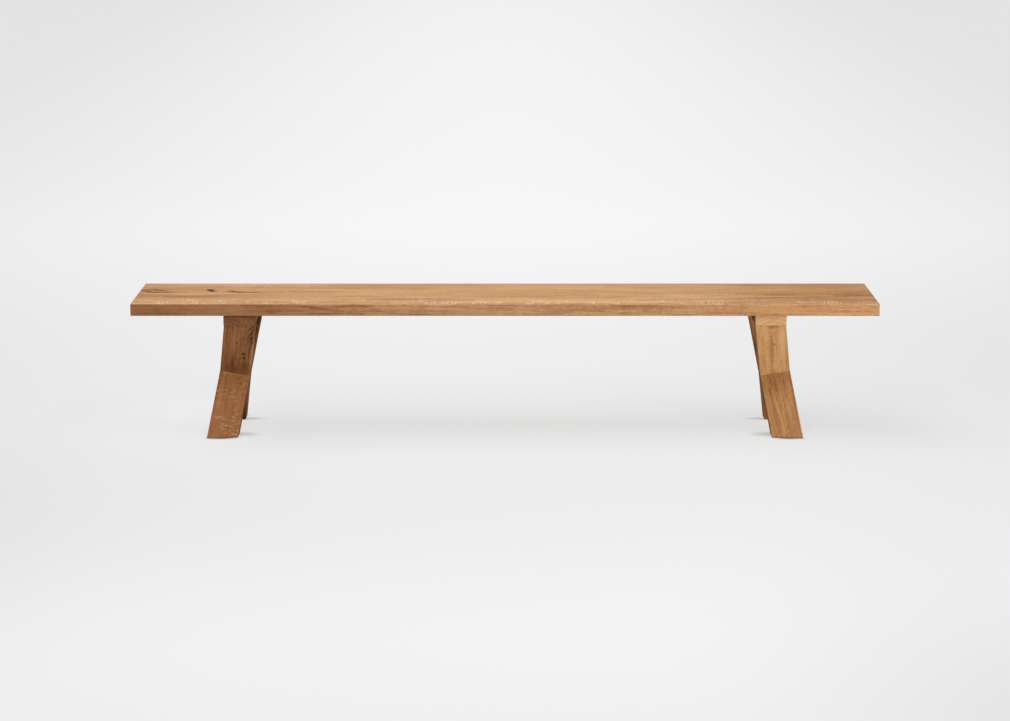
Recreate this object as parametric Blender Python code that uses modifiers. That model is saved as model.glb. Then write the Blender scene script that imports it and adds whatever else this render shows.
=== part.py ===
"""Dining bench in solid oak: a plank seat glued up from staves, on two leaning X trestles.

Each trestle is a flat X of two straight boards, halved into each other at mid height. The
flat X stands at a lean, with its feet nearer the end of the bench than its heads, so the
level cuts at the feet and at the heads are compound ones. A rail lies across each pair of
heads, pinned to them by dowels, and the seat is bolted down on the rails from below.

Units are metres. +Z is up and +X runs along the seat. The origin is on the floor, under
the middle of the seat.
"""

import math

import bmesh
import bpy
from mathutils import Matrix

# Seat
SEAT_LENGTH = 2.500
SEAT_WIDTH = 0.400
SEAT_THICKNESS = 0.040
SEAT_HEIGHT = 0.463
STAVE_WIDTH_SHARES = (0.26, 0.28, 0.18, 0.28)  # of the seat's width, front to back

# Trestles
TRESTLE_INSET = 0.328  # from the end of the seat to the middle of the crossing
TRESTLE_LEAN = math.radians(9.44)
BOARD_WIDTH = 0.1025
BOARD_THICKNESS = 0.054
RAIL_LENGTH = 0.374
RAIL_HEIGHT = 0.035
HEAD_SETBACK = 0.001  # from the end of the rail to the furthest corner of a board's head

# Dowels that pin the rail to the heads of the boards, two in each head
DOWEL_DIAMETER = 0.012
DOWEL_IN_RAIL = 0.022
DOWEL_IN_BOARD = 0.028
DOWEL_SPACING = 0.052
DOWEL_CHAMFER = 0.001
DOWEL_HOLE_SPARE = 0.001  # room for glue past each end of a dowel

# Socket head bolts M8, sunk into the underside of the rail, four in each rail
BOLT_DIAMETER = 0.008
BOLT_ENGAGEMENT = 0.014
BOLT_TIP_CHAMFER = 0.001
BOLT_HEAD_DIAMETER = 0.013
BOLT_HEAD_HEIGHT = 0.008
BOLT_HEAD_CHAMFER = 0.0008
BOLT_HEAD_SINK = 0.0013  # from the underside of the rail up to the head
SOCKET_WIDTH = 0.006  # across the flats
SOCKET_DEPTH = 0.004
BOLT_SPACING_X = 0.056
BOLT_SPACING_Y = 0.140
SLOT_CLEARANCE = 0.001  # in the width of a slot, round the bolt
SLOT_TRAVEL = 0.006  # along Y, so that the seat can swell and shrink in width

# Washers under the heads, and threaded inserts in the seat
WASHER_DIAMETER = 0.016
WASHER_BORE_CLEARANCE = 0.0008
WASHER_THICKNESS = 0.0016
COUNTERBORE_CLEARANCE = 0.003
INSERT_DIAMETER = 0.013
INSERT_LENGTH = 0.018
INSERT_CHAMFER = 0.001
INSERT_HOLE_SPARE = 0.005

# Making
FIT_GAP = 0.0003
ARRIS = 0.0015
OVERRUN = 0.010
MERGE_DISTANCE = 0.00001
ARRIS_STEPS = 2
ROUND_STEPS = 24
SOCKET_SIDES = 6
SMOOTH_ANGLE = math.radians(35)

# Levels, from the seat down to the floor
seat_bottom = SEAT_HEIGHT - SEAT_THICKNESS
rail_top = seat_bottom - FIT_GAP
rail_bottom = rail_top - RAIL_HEIGHT
head_height = rail_bottom - FIT_GAP
crossing_height = head_height / 2

# The leaning X. The rail is as wide as the level cut through a leaning board, and the
# boards spread until the furthest corner of each head is just inside the end of the rail.
crossing_x = SEAT_LENGTH / 2 - TRESTLE_INSET
rail_width = BOARD_WIDTH / math.cos(TRESTLE_LEAN)
corner_rise = crossing_height / math.cos(TRESTLE_LEAN) + BOARD_WIDTH / 2 * math.tan(TRESTLE_LEAN)
head_reach = RAIL_LENGTH / 2 - HEAD_SETBACK
board_spread = math.acos(BOARD_THICKNESS / 2 / math.hypot(head_reach, corner_rise)) - math.atan2(
    corner_rise, head_reach
)
blank_length = 2 * (corner_rise + OVERRUN) / math.cos(board_spread) + BOARD_THICKNESS * math.tan(board_spread)

# Stack of a bolt, up from the underside of the rail
bolt_seat = rail_bottom + BOLT_HEAD_SINK + BOLT_HEAD_HEIGHT
washer_bottom = bolt_seat + FIT_GAP
counterbore_top = washer_bottom + WASHER_THICKNESS + FIT_GAP
bolt_length = seat_bottom + BOLT_ENGAGEMENT - bolt_seat
insert_hole_depth = max(INSERT_LENGTH, BOLT_ENGAGEMENT) + INSERT_HOLE_SPARE


def clear_scene():
    for obj in list(bpy.data.objects):
        bpy.data.objects.remove(obj, do_unlink=True)


def new_collection(name, parent):
    collection = bpy.data.collections.new(name)
    parent.children.link(collection)
    return collection


def linear(srgb):
    """A colour picked in sRGB, 0 to 255, as the linear values that a shader takes."""
    channels = [value / 255 for value in srgb]
    return [c / 12.92 if c <= 0.04045 else ((c + 0.055) / 1.055) ** 2.4 for c in channels]


def new_material(name, srgb, roughness, metallic=0):
    material = bpy.data.materials.new(name)
    material.use_nodes = True
    shader = material.node_tree.nodes["Principled BSDF"]
    shader.inputs["Base Color"].default_value = (*linear(srgb), 1)
    shader.inputs["Roughness"].default_value = roughness
    shader.inputs["Metallic"].default_value = metallic
    return material


def seat_oak():
    return new_material("seat_oak", (200, 158, 117), 0.55)


def rail_oak():
    return new_material("rail_oak", (186, 142, 100), 0.6)


def board_oak():
    return new_material("board_oak", (178, 130, 88), 0.6)


def dowel_beech():
    return new_material("dowel_beech", (214, 178, 138), 0.7)


def bolt_steel():
    return new_material("bolt_steel", (150, 152, 156), 0.35, 1)


def washer_steel():
    return new_material("washer_steel", (176, 178, 180), 0.3, 1)


def insert_steel():
    return new_material("insert_steel", (196, 178, 130), 0.4, 1)


def place(obj, collection, parent=None, location=(0, 0, 0), rotation=(0, 0, 0)):
    collection.objects.link(obj)
    obj.parent = parent
    obj.location = location
    obj.rotation_euler = rotation
    return obj


def as_cutter(obj):
    obj.hide_render = True
    obj.display_type = "WIRE"
    return obj


def object_of(name, bm, material=None):
    mesh = bpy.data.meshes.new(name)
    bm.to_mesh(mesh)
    bm.free()
    if material:
        mesh.materials.append(material)
    return bpy.data.objects.new(name, mesh)


def box(name, size, material=None):
    bm = bmesh.new()
    bmesh.ops.create_cube(bm, size=1, matrix=Matrix.Diagonal((*size, 1)))
    return object_of(name, bm, material)


def cylinder(name, radius, height, sides=ROUND_STEPS):
    """An upright cylinder, turned by half a side so that no corner lies on the X or Y axis."""
    bm = bmesh.new()
    bmesh.ops.create_cone(
        bm,
        cap_ends=True,
        segments=sides,
        radius1=radius,
        radius2=radius,
        depth=height,
        matrix=Matrix.Rotation(math.pi / sides, 4, "Z"),
    )
    return object_of(name, bm)


def slot(name, radius, travel, height):
    """A cylinder whose two halves are moved apart along Y."""
    obj = cylinder(name, radius, height)
    for vertex in obj.data.vertices:
        vertex.co.y += math.copysign(travel / 2, vertex.co.y)
    return obj


def turned(name, profile, material, closed=False):
    """A profile of (radius, height) points turned round Z. It runs down its outer side."""
    bm = bmesh.new()
    points = [bm.verts.new((radius, 0, height)) for radius, height in profile]
    for first, second in zip(points, points[1:]):
        bm.edges.new((first, second))
    if closed:
        bm.edges.new((points[-1], points[0]))
    obj = object_of(name, bm, material)
    screw = obj.modifiers.new("turn", "SCREW")
    screw.steps = ROUND_STEPS
    screw.render_steps = ROUND_STEPS
    screw.use_merge_vertices = True
    screw.merge_threshold = MERGE_DISTANCE
    return obj


def ease(obj, is_eased):
    """Rounds the edges that is_eased picks, given an edge's two corners."""
    weights = obj.data.attributes.new("bevel_weight_edge", "FLOAT", "EDGE")
    for edge in obj.data.edges:
        start, end = (obj.data.vertices[index].co for index in edge.vertices)
        weights.data[edge.index].value = float(is_eased(start, end))
    bevel = obj.modifiers.new("arris", "BEVEL")
    bevel.limit_method = "WEIGHT"
    bevel.width = ARRIS
    bevel.segments = ARRIS_STEPS


def cut(obj, cutter):
    boolean = obj.modifiers.new("cut " + cutter.name, "BOOLEAN")
    boolean.solver = "EXACT"
    boolean.object = cutter


def cut_all(obj, cutters):
    """Cuts with a whole collection. None of its cutters touches another of them."""
    boolean = obj.modifiers.new("cut " + cutters.name, "BOOLEAN")
    boolean.solver = "EXACT"
    boolean.operand_type = "COLLECTION"
    boolean.collection = cutters


def finished_mesh(obj):
    """The object's mesh with its modifiers applied. The object itself is removed."""
    graph = bpy.context.evaluated_depsgraph_get()
    mesh = bpy.data.meshes.new_from_object(obj.evaluated_get(graph))
    bpy.data.objects.remove(obj, do_unlink=True)
    mesh.shade_smooth()
    mesh.set_sharp_from_angle(angle=SMOOTH_ANGLE)
    return mesh


def stave_bands():
    """The (front, back) of each stave along Y, with a gap for the glue between staves."""
    joints = len(STAVE_WIDTH_SHARES) - 1
    timber = SEAT_WIDTH - joints * FIT_GAP
    front = -SEAT_WIDTH / 2
    bands = []
    for share in STAVE_WIDTH_SHARES:
        back = front + timber * share / sum(STAVE_WIDTH_SHARES)
        bands.append((front, back))
        front = back + FIT_GAP
    return bands


def outline_test(glued_sides):
    """Tells an edge of the glued seat's outline from one on a joint between staves."""
    return lambda start, end: not any(start.y * side > 0 and end.y * side > 0 for side in glued_sides)


def make_seat(collection, insert_holes):
    """Full-length staves. Only the outline of the glued seat is eased, not its joints."""
    material = seat_oak()
    bands = stave_bands()
    for number, (front, back) in enumerate(bands, start=1):
        glued_sides = []
        if number > 1:
            glued_sides.append(-1)
        if number < len(bands):
            glued_sides.append(1)
        stave = box(f"seat_stave_{number}", (SEAT_LENGTH, back - front, SEAT_THICKNESS), material)
        place(stave, collection, location=(0, (front + back) / 2, SEAT_HEIGHT - SEAT_THICKNESS / 2))
        ease(stave, outline_test(glued_sides))
        cut_all(stave, insert_holes)


def make_trestle_place(side, collection):
    """An empty on the floor under the crossing. Its +X points to the middle of the bench."""
    x, turn = (-crossing_x, 0) if side == "left" else (crossing_x, math.pi)
    empty = bpy.data.objects.new(side + "_trestle", None)
    return place(empty, collection, location=(x, 0, 0), rotation=(0, 0, turn))


def lean_at(height):
    """How far the middle of the leaning X lies towards the middle of the bench."""
    return (height - crossing_height) * math.tan(TRESTLE_LEAN)


def spread_at(height):
    """How far the middle of a board lies from the middle of the X, along Y."""
    return abs(height - crossing_height) / math.cos(TRESTLE_LEAN) * math.tan(board_spread)


def make_level_cutters(trestle, cutters):
    """Two blocks that saw the boards off level, at the floor and under the rail."""
    size = (blank_length, blank_length, blank_length)
    floor_block = as_cutter(box(trestle.name + "_floor_cut", size))
    place(floor_block, cutters, trestle, (0, 0, -blank_length / 2))
    head_block = as_cutter(box(trestle.name + "_head_cut", size))
    place(head_block, cutters, trestle, (0, 0, head_height + blank_length / 2))
    return floor_block, head_block


def make_lap_cutter(name, leaning, cutters, half, other_tilt):
    """The notch for the other board: half this board's width deep, with a gap all round."""
    depth = BOARD_WIDTH / 2 + OVERRUN + FIT_GAP / 2
    block = as_cutter(box(name, (depth, BOARD_THICKNESS + 2 * FIT_GAP, blank_length)))
    x = half * (depth / 2 - FIT_GAP / 2)
    return place(block, cutters, leaning, (x, 0, 0), (other_tilt, 0, 0))


def make_boards(side, trestle, collection, cutters, dowel_holes, material):
    """The two crossed boards, halved into each other: one keeps its outer half at the
    crossing and the other its inner half, so their faces finish flush."""
    leaning = bpy.data.objects.new(side + "_leaning_frame", None)
    place(leaning, collection, trestle, (0, 0, crossing_height), (0, TRESTLE_LEAN, 0))
    level_cutters = make_level_cutters(trestle, cutters)
    facing = math.cos(trestle.rotation_euler.z)
    for tilt_sign, notched_half in ((-1, 1), (1, -1)):
        foot = "front" if tilt_sign * facing < 0 else "rear"
        name = f"{side}_board_{foot}_foot"
        tilt = tilt_sign * board_spread
        board = box(name, (BOARD_WIDTH, BOARD_THICKNESS, blank_length), material)
        place(board, collection, leaning, rotation=(tilt, 0, 0))
        ease(board, lambda start, end: start.z * end.z < 0)
        for block in level_cutters:
            cut(board, block)
        cut(board, make_lap_cutter(name + "_lap", leaning, cutters, notched_half, -tilt))
        cut_all(board, dowel_holes)


def dowel_places():
    """(name, x, y) of each dowel. A hole is upright, and centred in the board half way down."""
    middle = head_height - DOWEL_IN_BOARD / 2
    for end, y_sign in (("a", -1), ("b", 1)):
        for number, x_sign in ((1, -1), (2, 1)):
            x = lean_at(middle) + x_sign * DOWEL_SPACING / 2
            yield f"{end}{number}", x, y_sign * spread_at(middle)


def dowel_mesh():
    radius = DOWEL_DIAMETER / 2
    bottom = rail_bottom - FIT_GAP - DOWEL_IN_BOARD
    top = rail_bottom + DOWEL_IN_RAIL
    profile = [
        (0, top),
        (radius - DOWEL_CHAMFER, top),
        (radius, top - DOWEL_CHAMFER),
        (radius, bottom + DOWEL_CHAMFER),
        (radius - DOWEL_CHAMFER, bottom),
        (0, bottom),
    ]
    return finished_mesh(place(turned("dowel", profile, dowel_beech()), bpy.context.scene.collection))


def make_dowels(side, trestle, collection, dowel_holes, mesh):
    """Each dowel with the one upright hole that runs on from the board into the rail."""
    hole_radius = DOWEL_DIAMETER / 2 + FIT_GAP
    hole_bottom = head_height - DOWEL_IN_BOARD - DOWEL_HOLE_SPARE
    hole_top = rail_bottom + DOWEL_IN_RAIL + DOWEL_HOLE_SPARE
    for name, x, y in dowel_places():
        dowel = bpy.data.objects.new(f"{side}_dowel_{name}", mesh)
        place(dowel, collection, trestle, (x, y, 0))
        hole = as_cutter(cylinder(f"{side}_dowel_hole_{name}", hole_radius, hole_top - hole_bottom))
        place(hole, dowel_holes, trestle, (x, y, (hole_top + hole_bottom) / 2))


def bolt_places():
    """(number, x, y) of each bolt, on a rectangle about the middle of the rail."""
    number = 0
    for x_sign in (-1, 1):
        for y_sign in (-1, 1):
            number += 1
            yield number, lean_at(head_height) + x_sign * BOLT_SPACING_X / 2, y_sign * BOLT_SPACING_Y / 2


def bolt_mesh():
    """A socket head bolt that points up, with its origin under the head, where it bears."""
    radius = BOLT_DIAMETER / 2
    head_radius = BOLT_HEAD_DIAMETER / 2
    profile = [
        (0, bolt_length),
        (radius - BOLT_TIP_CHAMFER, bolt_length),
        (radius, bolt_length - BOLT_TIP_CHAMFER),
        (radius, 0),
        (head_radius, 0),
        (head_radius, BOLT_HEAD_CHAMFER - BOLT_HEAD_HEIGHT),
        (head_radius - BOLT_HEAD_CHAMFER, -BOLT_HEAD_HEIGHT),
        (0, -BOLT_HEAD_HEIGHT),
    ]
    bolt = place(turned("bolt", profile, bolt_steel()), bpy.context.scene.collection)
    corner_radius = SOCKET_WIDTH / 2 / math.cos(math.pi / SOCKET_SIDES)
    socket = cylinder("socket", corner_radius, SOCKET_DEPTH + OVERRUN, SOCKET_SIDES)
    place(socket, bpy.context.scene.collection)
    socket.location.z = SOCKET_DEPTH - BOLT_HEAD_HEIGHT - (SOCKET_DEPTH + OVERRUN) / 2
    cut(bolt, socket)
    mesh = finished_mesh(bolt)
    bpy.data.objects.remove(socket, do_unlink=True)
    return mesh


def washer_mesh():
    bore = (BOLT_DIAMETER + WASHER_BORE_CLEARANCE) / 2
    rim = WASHER_DIAMETER / 2
    profile = [(bore, WASHER_THICKNESS), (rim, WASHER_THICKNESS), (rim, 0), (bore, 0)]
    ring = turned("washer", profile, washer_steel(), closed=True)
    return finished_mesh(place(ring, bpy.context.scene.collection))


def insert_mesh():
    """A sleeve with its mouth at z = 0, flush with the underside of the seat."""
    bore = BOLT_DIAMETER / 2 + FIT_GAP
    rim = INSERT_DIAMETER / 2
    profile = [
        (bore, INSERT_LENGTH),
        (rim - INSERT_CHAMFER, INSERT_LENGTH),
        (rim, INSERT_LENGTH - INSERT_CHAMFER),
        (rim, 0),
        (bore, 0),
    ]
    sleeve = turned("insert", profile, insert_steel(), closed=True)
    return finished_mesh(place(sleeve, bpy.context.scene.collection))


def make_holes(side, trestle, groups, number, x, y):
    """What the bolt at (x, y) needs: a slot and a counterbore in the rail, and a blind hole
    in the seat for its insert. The counterbore is as long as the slot, for the washer."""
    slots, counterbores, insert_holes = groups
    slot_radius = (BOLT_DIAMETER + SLOT_CLEARANCE) / 2
    through = as_cutter(slot(f"{side}_slot_{number}", slot_radius, SLOT_TRAVEL, RAIL_HEIGHT + 2 * OVERRUN))
    place(through, slots, trestle, (x, y, (rail_top + rail_bottom) / 2))
    sunk_radius = (WASHER_DIAMETER + COUNTERBORE_CLEARANCE) / 2
    sunk_height = counterbore_top - rail_bottom + OVERRUN
    sunk = as_cutter(slot(f"{side}_counterbore_{number}", sunk_radius, SLOT_TRAVEL, sunk_height))
    place(sunk, counterbores, trestle, (x, y, counterbore_top - sunk_height / 2))
    blind_radius = INSERT_DIAMETER / 2 + FIT_GAP
    blind_height = insert_hole_depth + OVERRUN
    blind = as_cutter(cylinder(f"{side}_insert_hole_{number}", blind_radius, blind_height))
    place(blind, insert_holes, trestle, (x, y, seat_bottom + insert_hole_depth - blind_height / 2))


def make_fixings(side, trestle, collection, hole_groups, meshes):
    """A bolt, its washer and its insert at each place, and the holes that they go in."""
    for number, x, y in bolt_places():
        for kind, base in (("bolt", bolt_seat), ("washer", washer_bottom), ("insert", seat_bottom)):
            piece = bpy.data.objects.new(f"{side}_{kind}_{number}", meshes[kind])
            place(piece, collection, trestle, (x, y, base))
        make_holes(side, trestle, hole_groups, number, x, y)


def make_rail(side, trestle, collection, hole_groups, material):
    """The rail across the heads, flush with the boards' faces where they meet."""
    rail = box(side + "_rail", (rail_width, RAIL_LENGTH, RAIL_HEIGHT), material)
    place(rail, collection, trestle, (lean_at(head_height), 0, (rail_top + rail_bottom) / 2))
    ease(rail, lambda start, end: True)
    for group in hole_groups:
        cut_all(rail, group)


def main():
    clear_scene()
    root = bpy.context.scene.collection
    bench = new_collection("dining_bench", root)
    cutters = new_collection("cutters", root)
    insert_holes = new_collection("insert_holes", cutters)
    dowels = dowel_mesh()
    meshes = {"bolt": bolt_mesh(), "washer": washer_mesh(), "insert": insert_mesh()}
    rails_of = rail_oak()
    boards_of = board_oak()
    for side in ("left", "right"):
        trestle = make_trestle_place(side, bench)
        dowel_holes = new_collection(side + "_dowel_holes", cutters)
        slots = new_collection(side + "_slots", cutters)
        counterbores = new_collection(side + "_counterbores", cutters)
        make_dowels(side, trestle, bench, dowel_holes, dowels)
        make_boards(side, trestle, bench, cutters, dowel_holes, boards_of)
        make_fixings(side, trestle, bench, (slots, counterbores, insert_holes), meshes)
        make_rail(side, trestle, bench, (slots, counterbores, dowel_holes), rails_of)
    make_seat(bench, insert_holes)


main()
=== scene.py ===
# %% [markdown]
# # A long oak bench
#
# The bench is a plank seat on two leaning X trestles, all of solid oak with an oil finish.
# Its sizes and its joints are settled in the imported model. This lesson gives every piece the
# look of the real one: the grain, the pores and the rays of oak, drying cracks and knots, and
# the studio that the bench was photographed in.
#
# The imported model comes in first, because every later step measures its pieces there.

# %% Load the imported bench
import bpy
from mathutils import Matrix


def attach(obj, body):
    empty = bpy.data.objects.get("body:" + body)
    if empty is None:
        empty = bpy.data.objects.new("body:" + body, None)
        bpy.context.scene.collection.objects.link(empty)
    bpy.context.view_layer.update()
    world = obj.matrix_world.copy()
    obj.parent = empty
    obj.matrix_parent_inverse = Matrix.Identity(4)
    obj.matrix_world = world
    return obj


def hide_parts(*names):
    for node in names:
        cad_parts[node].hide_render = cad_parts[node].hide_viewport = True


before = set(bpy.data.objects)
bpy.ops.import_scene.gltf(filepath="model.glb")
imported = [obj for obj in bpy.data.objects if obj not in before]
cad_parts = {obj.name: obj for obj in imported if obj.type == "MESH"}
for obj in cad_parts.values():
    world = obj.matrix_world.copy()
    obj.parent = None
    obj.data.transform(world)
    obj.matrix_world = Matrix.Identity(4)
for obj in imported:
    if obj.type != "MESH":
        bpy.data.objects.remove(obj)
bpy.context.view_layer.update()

# %% [markdown]
# ## The camera
#
# The photograph looks at the front of the bench with a long lens, from a little above it. Lines
# that run away from the viewer hardly close up, so the lens is long and the camera is far off.
# Its place, tilt and focal length were worked out from the corners of the seat and the feet.
# A focal length in pixels becomes millimetres through the width of the sensor.

# %% Camera
import math

import bmesh
import bpy
from mathutils import Matrix, Vector
from mathutils.noise import noise

PICTURE_WIDTH_PX = 1010
FOCAL_LENGTH_PX = 2712.6
CAMERA_PLACE = (0, -9.098, 2.0917)
CAMERA_TILT = math.radians(11.562)  # below level
SENSOR_WIDTH_MM = 36
CAMERA_REACH = 200  # metres, well past the floor

scene = bpy.context.scene
scene.view_settings.view_transform = "Standard"
camera = bpy.data.objects.new("camera", bpy.data.cameras.new("camera"))
camera.data.sensor_width = SENSOR_WIDTH_MM
camera.data.lens = FOCAL_LENGTH_PX / PICTURE_WIDTH_PX * SENSOR_WIDTH_MM
camera.data.clip_end = CAMERA_REACH
camera.location = CAMERA_PLACE
camera.rotation_euler = (math.pi / 2 - CAMERA_TILT, 0, 0)
scene.collection.objects.link(camera)
scene.camera = camera
print("lens, mm:", round(camera.data.lens, 1))

# %% [markdown]
# ## Colours and nodes
#
# Colours are given as sRGB hex values, but a shader works in linear light, so one
# function converts them. A second one adds a node, sets it and wires its inputs in one call.
# An input may be a constant, a socket, or a whole node, whose live output is then used.

# %% Colour and node helpers
def linear(hex_colour):
    channels = [int(hex_colour[i : i + 2], 16) / 255 for i in (1, 3, 5)]
    return [*(c / 12.92 if c <= 0.04045 else ((c + 0.055) / 1.055) ** 2.4 for c in channels), 1]


def add(tree, kind, inputs, **settings):
    node = tree.nodes.new("ShaderNode" + kind)
    for name, value in settings.items():
        setattr(node, name, value)
    for name, value in inputs.items():
        socket = node.inputs[name] if isinstance(name, int) else None
        socket = socket or next(s for s in node.inputs if s.enabled and s.name == name)
        if isinstance(value, bpy.types.Node):
            value = next(s for s in value.outputs if s.enabled)
        if isinstance(value, bpy.types.NodeSocket):
            tree.links.new(value, socket)
        else:
            socket.default_value = value
    return node


def new_material(name):
    material = bpy.data.materials.new(name)
    material.use_nodes = True
    material.node_tree.nodes.clear()
    return material, material.node_tree


print("mid grey in linear light:", round(linear("#808080")[0], 3))

# %% [markdown]
# ## Masks
#
# A mask says how much of something there is at each point, from 0 to 1. Two kinds of it come
# back all through this lesson. One is a soft step from one value to another. The other is an
# oval spot that goes right through a piece: a stain, a knot, or a darker patch of floor.

# %% Soft steps and spots
RIGHT_THROUGH = 1e6  # how deep a spot reaches


def soft_step(tree, value, start, end):
    """0 at the start and before it, 1 at the end and beyond. It may run downwards."""
    span = {"Value": value, "From Min": start, "From Max": end}
    return add(tree, "MapRange", span, interpolation_type="SMOOTHSTEP")


def near(tree, place, spot):
    """1 at the middle of an oval spot, 0 at its rim.

    A spot is its middle, its turn, its length and its width, in metres and radians.
    """
    (x, y), turn, length, width = spot
    oval = {"Location": (x, y, 0), "Rotation": (0, 0, turn)}
    oval["Scale"] = (length / 2, width / 2, RIGHT_THROUGH)
    inside = add(tree, "Mapping", {"Vector": place, **oval}, vector_type="TEXTURE")
    away = add(tree, "VectorMath", {0: inside}, operation="LENGTH")
    return soft_step(tree, away, 1, 0)


print("a spot reaches, m deep:", RIGHT_THROUGH)

# %% [markdown]
# ## The studio
#
# The bench stands on a seamless sheet of pale paper. In a studio the sheet curves up behind the
# bench. Seen from here a flat disc looks the same if it reaches far enough, and it is simpler.
# It lies a hair below the feet, so that the two don't share a plane.

# %% Floor disc
FLOOR_RADIUS = 60
FLOOR_SIDES = 96
FLOOR_DROP = 0.0003

bm = bmesh.new()
bmesh.ops.create_circle(bm, cap_ends=True, radius=FLOOR_RADIUS, segments=FLOOR_SIDES)
floor_mesh = bpy.data.meshes.new("studio_floor")
bm.to_mesh(floor_mesh)
bm.free()
floor = bpy.data.objects.new("studio_floor", floor_mesh)
floor.location.z = -FLOOR_DROP
scene.collection.objects.link(floor)
print("floor radius, m:", FLOOR_RADIUS)

# %% [markdown]
# ## Light and shade on the floor
#
# Paper lit by soft lamps isn't even. A wide pool of light lies on it behind the bench. It is
# darker round the bench and in front of it, most of all at the right. Where a foot stands on it
# hardly any light gets in, so there is a thin dark line along the front and the back edge of the
# foot, and a soft shade beside it, towards the middle of the bench. More lamps could do this, but
# each would change the wood too. So every patch is an oval spot with a strength and a colour. The
# dark lines lie along the feet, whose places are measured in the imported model.

# %% Feet on the floor
SAWN_FOOT = 0.001  # its corners are no higher than this


def foot_middle(node):
    """The middle of a leg's sawn foot on the floor, to the millimetre."""
    corners = [vert.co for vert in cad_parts[node].data.vertices if vert.co.z < SAWN_FOOT]
    x, y, _ = [round((min(places) + max(places)) / 2, 3) for places in zip(*corners)]
    return x, y


leg_ends = [(side, end) for side in ("left", "right") for end in ("front", "rear")]
feet = [foot_middle(f"{side}_board_{end}_foot") for side, end in leg_ends]
print("middles of the feet, m:", feet)

# %% Patches on the floor
LIGHT_POOL = ((0, 6), 0, 9, 100)
PATCH_GREY = "#C1C1C1"
DARK_PATCHES = [
    (((0, -0.3), 0, 30, 10.5), 0.55, PATCH_GREY),
    (((0, -1.2), 0, 30, 3.0), 0.16, PATCH_GREY),
    (((0, -4.0), 0, 30, 4.4), 0.30, PATCH_GREY),
    (((-2.6, -1.8), 0, 3.4, 4.4), 0.42, PATCH_GREY),
    (((2.1, -2.5), 0, 3.6, 4.4), 0.85, PATCH_GREY),
]
PALE_PATCH = (((-1.14, 0.05), 0, 0.85, 1.3), 0.38, "#FFFFFF")  # no shadow falls left of the left feet
FOOT_HALF_DEPTH = 0.034  # from the middle of a foot to its front or back edge
FOOT_SKEW = math.radians(7)  # the legs slope in two planes, so their sawn feet are skewed
FOOT_LINE = (0.150, 0.052)  # its length and its width
FOOT_LINE_BROWN = "#4A3424"
FOOT_SHADE_X = 0.893  # a little nearer to the middle of the bench than the foot is
FOOT_SHADES = ((-0.122, 0.110), (0.120, 0.070))  # the middle and the depth of each, front and back
FOOT_SHADE_LENGTH = 0.170
FOOT_SHADE_STRENGTH = 0.5
FOOT_SHADE_GREY = "#8C8884"

patches = [*DARK_PATCHES, PALE_PATCH]
for side in (-1, 1):
    for y, depth in FOOT_SHADES:
        spot = ((side * FOOT_SHADE_X, y), 0, FOOT_SHADE_LENGTH, depth)
        patches.append((spot, FOOT_SHADE_STRENGTH, FOOT_SHADE_GREY))
for x, y in feet:
    for edge in (-1, 1):
        middle = (x, y + edge * FOOT_HALF_DEPTH)
        spot = (middle, math.copysign(FOOT_SKEW, x * y), *FOOT_LINE)
        patches.append((spot, 1, FOOT_LINE_BROWN))
print("patches on the floor:", len(patches))

# %% [markdown]
# ## Paper floor
#
# The floor is matt white paper. What the camera sees of it is lifted towards white, with light of
# its own, while the light that it throws back on the bench stays moderate. A part of its shading
# is kept, so that the soft shadow under the bench stays.

# %% Floor material
FLOOR_LIFT = 0.79  # how much of the floor's look is its own light
FLOOR_GLOW = 1.15  # how bright that light is

paper, tree = new_material("matt paper floor")
spread = add(tree, "TexCoord", {}).outputs["Object"]
pool = near(tree, spread, LIGHT_POOL)
own_light = {"Factor": pool, "A": linear("#EBEBEB"), "B": linear("#FCFCFC")}
own_light = add(tree, "Mix", own_light, data_type="RGBA")
for spot, strength, colour in patches:
    share = add(tree, "Math", {0: near(tree, spread, spot), 1: strength}, operation="MULTIPLY")
    own_light = {"Factor": share, "A": own_light, "B": linear(colour)}
    own_light = add(tree, "Mix", own_light, data_type="RGBA")
glow = add(tree, "Emission", {"Color": own_light, "Strength": FLOOR_GLOW})
shaded = add(tree, "BsdfDiffuse", {"Color": linear("#F6F6F6")})
lifted = add(tree, "MixShader", {0: FLOOR_LIFT, 1: shaded, 2: glow})
ray = add(tree, "LightPath", {})
thrown = {"Factor": ray.outputs["Is Glossy Ray"], "A": linear("#CCCCCC"), "B": linear("#2E2E2E")}
returned = add(tree, "BsdfDiffuse", {"Color": add(tree, "Mix", thrown, data_type="RGBA")})
chosen = add(tree, "MixShader", {0: ray.outputs["Is Camera Ray"], 1: returned, 2: lifted})
add(tree, "OutputMaterial", {"Surface": chosen})
floor.data.materials.append(paper)
print("share of its own light:", FLOOR_LIFT)

# %% [markdown]
# ## Room and lamps
#
# A large soft lamp stands at the right, in front of the bench and low, which is why the right
# end of the seat's front edge is lighter than the left. A second one hangs above, a little to
# the left. A third, far in front, is high enough for the seat to throw a thin shadow on the ends
# of the rails. The white room fills the rest, faintly. In a gloss it looks brighter than the
# light that it gives, as white walls do.

# %% Room
ROOM_LIGHT = 0.10
ROOM_SHEEN = 0.40  # how bright the room looks in a gloss
BACKDROP = 1  # and to the camera, past the edge of the floor

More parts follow.
